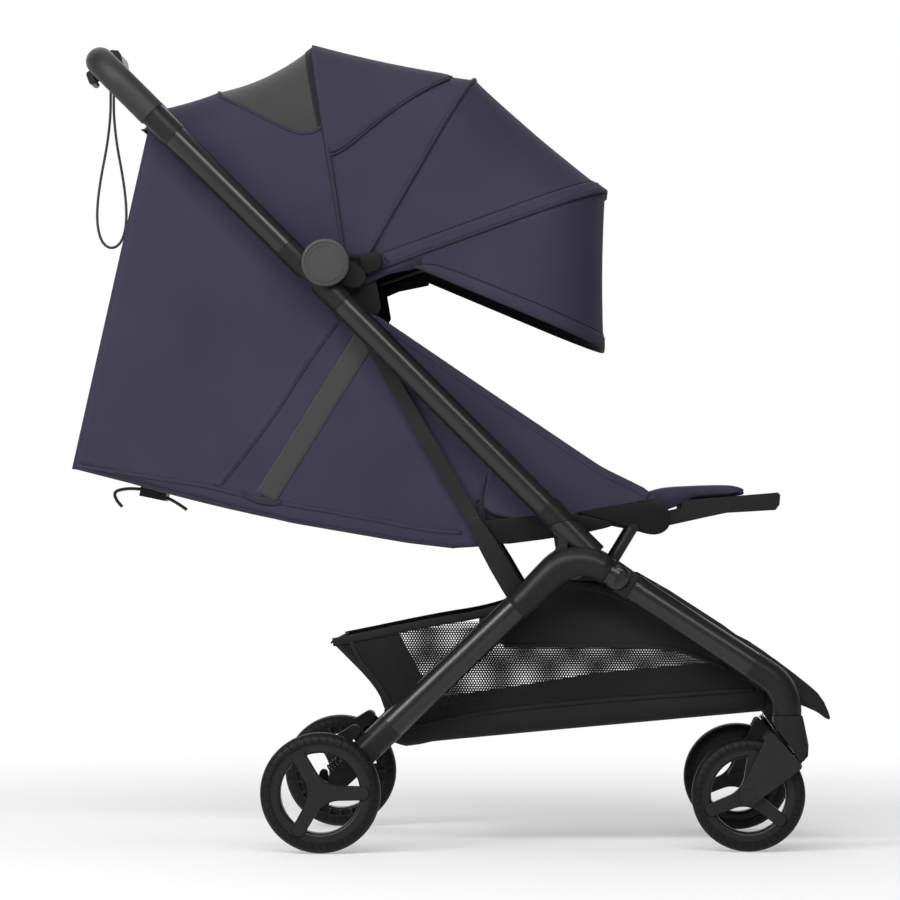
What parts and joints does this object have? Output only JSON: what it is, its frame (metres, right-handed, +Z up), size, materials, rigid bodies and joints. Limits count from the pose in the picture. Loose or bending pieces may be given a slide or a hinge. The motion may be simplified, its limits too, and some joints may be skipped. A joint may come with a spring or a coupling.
{
  "type": "baby stroller",
  "caption": "Compact folding stroller with a navy canopy and seat, flat reclining backrest, raised leg rest, basket, foot brakes and sprung swivelling front wheels.",
  "frame": {"origin": "on the ground at the centre of the bounding box", "axes": "+X is the way the stroller faces, +Y the child's left, +Z up"},
  "size_m": [0.942, 0.449, 1.0121],
  "materials": {
    "frame_black": "satin black powder coat",
    "casting_black": "fine-grained moulded plastic",
    "cap_grey": "fine-grained moulded plastic",
    "grip": "grained leather-like cover with a seam",
    "navy_cloth": "plain navy weave",
    "black_cloth": "black woven cloth and mesh",
    "webbing": "dark grey webbing",
    "pad_cloth": "padded dark cloth",
    "tyre_black": "fine-grained foam rubber",
    "wheel_black": "moulded plastic",
    "steel": "zinc-plated wire"
  },
  "bodies": {
    "chassis": {"upper_tubes": "frame_black", "lower_knuckles": "casting_black", "leg_joints": "casting_black", "fold_axle": "frame_black", "seat_frame": "casting_black", "seat_pad": "pad_cloth", "side_walls": "navy_cloth", "head_panel": "navy_cloth", "basket": "black_cloth", "canopy_brackets": "casting_black", "front_links": "casting_black", "harness_buckle": "casting_black", "recline_straps": "webbing", "canopy_rear": "navy_cloth"},
    "buckle_button": {"buckle_button": "cap_grey"},
    "handle": {"handle_tubes": "frame_black", "upper_knuckles": "casting_black", "hub_caps": "cap_grey", "handle_collars": "cap_grey", "handle_grip": "grip", "release_housing": "casting_black", "wrist_strap": "webbing"},
    "release_slider": {"release_slider": "cap_grey"},
    "release_trigger": {"release_trigger": "casting_black"},
    "rear_legs": {"rear_leg_tubes": "frame_black", "rear_feet": "casting_black", "rear_springs": "steel"},
    "struts": {"struts": "frame_black"},
    "front_legs": {"front_leg_tubes": "frame_black", "front_elbows": "casting_black", "foot_panel": "casting_black"},
    "backrest": {"backrest_board": "black_cloth", "backrest_pad": "pad_cloth", "recline_clip": "casting_black"},
    "leg_rest": {"leg_rest_frame": "casting_black", "leg_rest_pad": "navy_cloth"},
    "bow_1": {"canopy_bow_1": "frame_black", "canopy_middle": "navy_cloth"},
    "bow_2": {"canopy_bow_2": "frame_black", "canopy_front": "navy_cloth"},
    "bow_3": {"canopy_bow_3": "frame_black"},
    "visor": {"canopy_visor": "navy_cloth"},
    "rear_arm_left": {"rear_arm_left": "casting_black"},
    "rear_wheel_left": {"rear_wheel_left": "wheel_black", "rear_tyre_left": "tyre_black"},
    "brake_left": {"brake_pedal_left": "cap_grey"},
    "caster_left": {"caster_left": "casting_black", "front_spring_left": "steel"},
    "fork_left": {"fork_left": "cap_grey"},
    "front_wheel_left": {"front_wheel_left": "wheel_black", "front_tyre_left": "tyre_black"},
    "rear_arm_right": {"rear_arm_right": "casting_black"},
    "rear_wheel_right": {"rear_wheel_right": "wheel_black", "rear_tyre_right": "tyre_black"},
    "brake_right": {"brake_pedal_right": "cap_grey"},
    "caster_right": {"caster_right": "casting_black", "front_spring_right": "steel"},
    "fork_right": {"fork_right": "cap_grey"},
    "front_wheel_right": {"front_wheel_right": "wheel_black", "front_tyre_right": "tyre_black"}
  },
  "joints": [
    {"name": "fold", "type": "hinge", "parent": "chassis", "child": "handle", "pos_m": [-0.153, 0, 0.727], "axis": [0, 1, 0], "range_deg": [0, 170], "deforming": ["basket", "wrist_strap", "canopy_rear", "canopy_middle", "canopy_front", "canopy_visor"]},
    {"name": "rear_leg_fold", "type": "hinge", "parent": "chassis", "child": "rear_legs", "pos_m": [0.153, 0, 0.352], "axis": [0, 1, 0], "range_deg": [0, 70], "deforming": ["basket"]},
    {"name": "front_leg_fold", "type": "hinge", "parent": "rear_legs", "child": "front_legs", "pos_m": [0.207, 0, 0.338], "axis": [0, 1, 0], "range_deg": [0, 69.5], "deforming": ["basket"]},
    {"name": "strut_fold", "type": "hinge", "parent": "rear_legs", "child": "struts", "pos_m": [0.089, 0, 0.3065], "axis": [0, -1, 0], "range_deg": [0, 84.7]},
    {"name": "release_slide", "type": "slide", "parent": "handle", "child": "release_slider", "axis": [0, 1, 0], "range_m": [0, 0.012], "stiffness_N_per_m": 150, "springref_m": -0.002},
    {"name": "release_trigger", "type": "slide", "parent": "handle", "child": "release_trigger", "axis": [0.9397, 0, 0.342], "range_m": [0, 0.004], "stiffness_N_per_m": 600, "springref_m": -0.002},
    {"name": "buckle_button", "type": "slide", "parent": "chassis", "child": "buckle_button", "axis": [0, 0, -1], "range_m": [0, 0.0025], "stiffness_N_per_m": 900, "springref_m": -0.001},
    {"name": "recline", "type": "hinge", "parent": "chassis", "child": "backrest", "pos_m": [0.03, 0, 0.4], "axis": [0, 1, 0], "range_deg": [0, 50], "deforming": ["recline_straps"]},
    {"name": "leg_rest_drop", "type": "hinge", "parent": "chassis", "child": "leg_rest", "pos_m": [0.257, 0, 0.408], "axis": [0, 1, 0], "range_deg": [0, 55]},
    {"name": "canopy_fold", "type": "hinge", "parent": "chassis", "child": "bow_1", "pos_m": [-0.119, 0, 0.712], "axis": [0, -1, 0], "range_deg": [0, 51], "deforming": ["canopy_rear", "canopy_middle", "canopy_front", "canopy_visor"]},
    {"name": "canopy_middle_fold", "type": "hinge", "parent": "bow_1", "child": "bow_2", "pos_m": [-0.119, 0, 0.712], "axis": [0, -1, 0], "range_deg": [0, 35.3], "deforming": ["canopy_middle", "canopy_front", "canopy_visor"]},
    {"name": "canopy_front_fold", "type": "hinge", "parent": "bow_2", "child": "bow_3", "pos_m": [-0.119, 0, 0.712], "axis": [0, -1, 0], "range_deg": [0, 35], "deforming": ["canopy_front", "canopy_visor"]},
    {"name": "visor_flip", "type": "hinge", "parent": "bow_3", "child": "visor", "pos_m": [-0.119, 0, 0.712], "axis": [0, -1, 0], "range_deg": [0, 28], "deforming": ["canopy_visor"]},
    {"name": "rear_suspension_left", "type": "hinge", "parent": "rear_legs", "child": "rear_arm_left", "pos_m": [-0.1367, 0.176, 0.0866], "axis": [0, 1, 0], "range_deg": [0, 8], "stiffness_Nm_per_rad": 14, "springref_deg": -6.88, "deforming": ["rear_springs"]},
    {"name": "rear_wheel_left", "type": "hinge", "parent": "rear_arm_left", "child": "rear_wheel_left", "pos_m": [-0.157, 0.2095, 0.074], "axis": [0, 1, 0], "continuous": true},
    {"name": "brake_left", "type": "hinge", "parent": "rear_legs", "child": "brake_left", "pos_m": [-0.11675, 0.176, 0.14821], "axis": [0, 1, 0], "range_deg": [0, 12]},
    {"name": "caster_left", "type": "hinge", "parent": "front_legs", "child": "caster_left", "pos_m": [0.417, 0.17, 0.168], "axis": [0, 0, 1], "continuous": true},
    {"name": "front_suspension_left", "type": "hinge", "parent": "caster_left", "child": "fork_left", "pos_m": [0.433, 0.17, 0.127], "axis": [0, 1, 0], "range_deg": [0, 9], "stiffness_Nm_per_rad": 30, "springref_deg": -6.88, "deforming": ["front_spring_left"]},
    {"name": "front_wheel_left", "type": "hinge", "parent": "fork_left", "child": "front_wheel_left", "pos_m": [0.369, 0.17, 0.07], "axis": [0, 1, 0], "continuous": true},
    {"name": "rear_suspension_right", "type": "hinge", "parent": "rear_legs", "child": "rear_arm_right", "pos_m": [-0.1367, -0.176, 0.0866], "axis": [0, 1, 0], "range_deg": [0, 8], "stiffness_Nm_per_rad": 14, "springref_deg": -6.88, "deforming": ["rear_springs"]},
    {"name": "rear_wheel_right", "type": "hinge", "parent": "rear_arm_right", "child": "rear_wheel_right", "pos_m": [-0.157, -0.2095, 0.074], "axis": [0, 1, 0], "continuous": true},
    {"name": "brake_right", "type": "hinge", "parent": "rear_legs", "child": "brake_right", "pos_m": [-0.11675, -0.176, 0.14821], "axis": [0, 1, 0], "range_deg": [0, 12]},
    {"name": "caster_right", "type": "hinge", "parent": "front_legs", "child": "caster_right", "pos_m": [0.417, -0.17, 0.168], "axis": [0, 0, 1], "continuous": true},
    {"name": "front_suspension_right", "type": "hinge", "parent": "caster_right", "child": "fork_right", "pos_m": [0.433, -0.17, 0.127], "axis": [0, 1, 0], "range_deg": [0, 9], "stiffness_Nm_per_rad": 30, "springref_deg": -6.88, "deforming": ["front_spring_right"]},
    {"name": "front_wheel_right", "type": "hinge", "parent": "fork_right", "child": "front_wheel_right", "pos_m": [0.369, -0.17, 0.07], "axis": [0, 1, 0], "continuous": true}
  ],
  "couplings": [
    {"joint": "rear_leg_fold", "follows": "fold", "ratio": 0.41176},
    {"joint": "front_leg_fold", "follows": "fold", "ratio": 0.40882},
    {"joint": "strut_fold", "follows": "fold", "ratio": 0.49824},
    {"joint": "canopy_middle_fold", "follows": "canopy_fold", "ratio": 0.69216},
    {"joint": "canopy_front_fold", "follows": "canopy_fold", "ratio": 0.68627}
  ]
}
